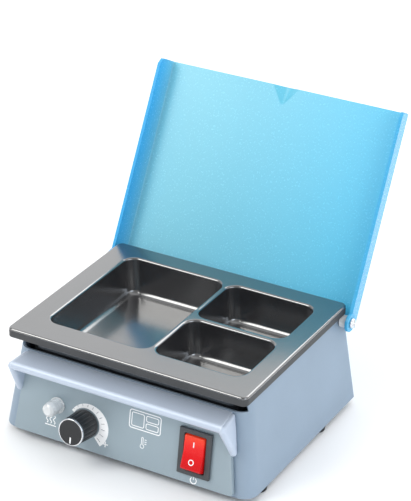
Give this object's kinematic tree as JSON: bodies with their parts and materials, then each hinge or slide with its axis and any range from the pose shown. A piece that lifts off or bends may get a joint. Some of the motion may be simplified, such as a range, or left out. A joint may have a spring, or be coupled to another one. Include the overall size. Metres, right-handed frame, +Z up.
{
  "type": "wax warmer pot",
  "caption": "Tabletop wax warmer pot with a lift-out tray of wells, a hinged translucent lid, a hooded front panel with a heat dial, a pilot light and a power switch.",
  "frame": {"origin": "table height under the middle of the pot's width and depth, measured with the lid resting open", "axes": "+Z up, +Y from the control panel towards the lid's hinge, +X to the right as seen from the front"},
  "size_m": [0.1848, 0.2328, 0.1839],
  "materials": {
    "housing_paint": "satin metallic blue-grey paint, fine edge wear",
    "fascia_paint": "satin metallic blue-grey paint",
    "zinc_steel": "zinc-plated sheet",
    "screw_steel": "zinc-plated turned steel",
    "bright_steel": "polished",
    "foot_rubber": "matte moulded",
    "white_print": "screen-printed ink",
    "tray_coating": "semi-gloss black non-stick coating",
    "cast_aluminium": "as cast",
    "element_sheath": "heat-oxidised sheath",
    "brass_parts": "bare",
    "mineral_fibre": "fibre blanket",
    "cream_plastic": "moulded, heat resistant",
    "copper_bulb": "bare copper",
    "knob_plastic": "satin moulded",
    "clear_lens": "clear faceted lens",
    "switch_plastic": "fine texture",
    "rocker_red": "translucent red, lit",
    "lid_acrylic": "translucent light blue, polished",
    "white_nylon": "turned",
    "inlet_plastic": "fine texture",
    "fuse_glass": "clear tube",
    "wire_brown": "insulation",
    "wire_blue": "insulation",
    "wire_white": "heat-resistant sleeve"
  },
  "bodies": {
    "pot": {"housing": "housing_paint", "base_plate": "zinc_steel", "base_screws": "screw_steel", "rubber_feet": "foot_rubber", "foot_screws": "screw_steel", "front_fascia": "fascia_paint", "fascia_screws": "screw_steel", "dial_print": "white_print", "heater_plate": "cast_aluminium", "heating_element": "element_sheath", "element_terminals": "brass_parts", "element_clamps": "zinc_steel", "insulation_pad": "mineral_fibre", "heat_shield": "zinc_steel", "shield_posts": "screw_steel", "shield_screws": "screw_steel", "post_screws": "screw_steel", "thermal_cutout": "cream_plastic", "thermostat": "cream_plastic", "thermostat_washer": "screw_steel", "thermostat_nut": "screw_steel", "sensor_bulb": "copper_bulb", "pilot_lens": "clear_lens", "pilot_lamp": "cream_plastic", "pilot_nut": "screw_steel", "switch_body": "switch_plastic", "switch_terminals": "brass_parts", "hinge_screws": "bright_steel", "hinge_bushes": "white_nylon", "hinge_washers": "screw_steel", "hinge_nuts": "screw_steel", "mains_inlet": "inlet_plastic", "inlet_pins": "bright_steel", "inlet_screws": "screw_steel", "terminal_block": "cream_plastic", "terminal_screws": "screw_steel", "earth_stud": "brass_parts", "live_wire": "wire_brown", "neutral_wire": "wire_blue", "heater_wire": "wire_white"},
    "tray": {"wax_tray": "tray_coating"},
    "lid": {"lid": "lid_acrylic"},
    "dial": {"control_shaft": "screw_steel", "knob": "knob_plastic", "knob_ring": "bright_steel", "knob_cap": "knob_plastic", "knob_pointer": "white_print", "set_screw": "screw_steel"},
    "rocker": {"rocker": "rocker_red"},
    "drawer": {"fuse_drawer": "inlet_plastic", "fuse": "fuse_glass"}
  },
  "joints": [
    {"name": "lid_hinge", "type": "hinge", "parent": "pot", "child": "lid", "pos_m": [0, 0.03399, 0.064], "axis": [-1, 0, 0], "range_deg": [-119.5, 0]},
    {"name": "tray_lift", "type": "slide", "parent": "pot", "child": "tray", "axis": [0, 0, 1], "range_m": [0, 0.07]},
    {"name": "knob_turn", "type": "hinge", "parent": "pot", "child": "dial", "pos_m": [-0.0265, -0.09771, 0.02428], "axis": [0, 0.9877, -0.1564], "range_deg": [0, 318]},
    {"name": "rocker_tilt", "type": "hinge", "parent": "pot", "child": "rocker", "pos_m": [0.0518, -0.09618, 0.02758], "axis": [1, 0, 0], "range_deg": [0, 18]},
    {"name": "drawer_slide", "type": "slide", "parent": "pot", "child": "drawer", "axis": [0, 0.9985, 0.0549], "range_m": [0, 0.018]}
  ]
}
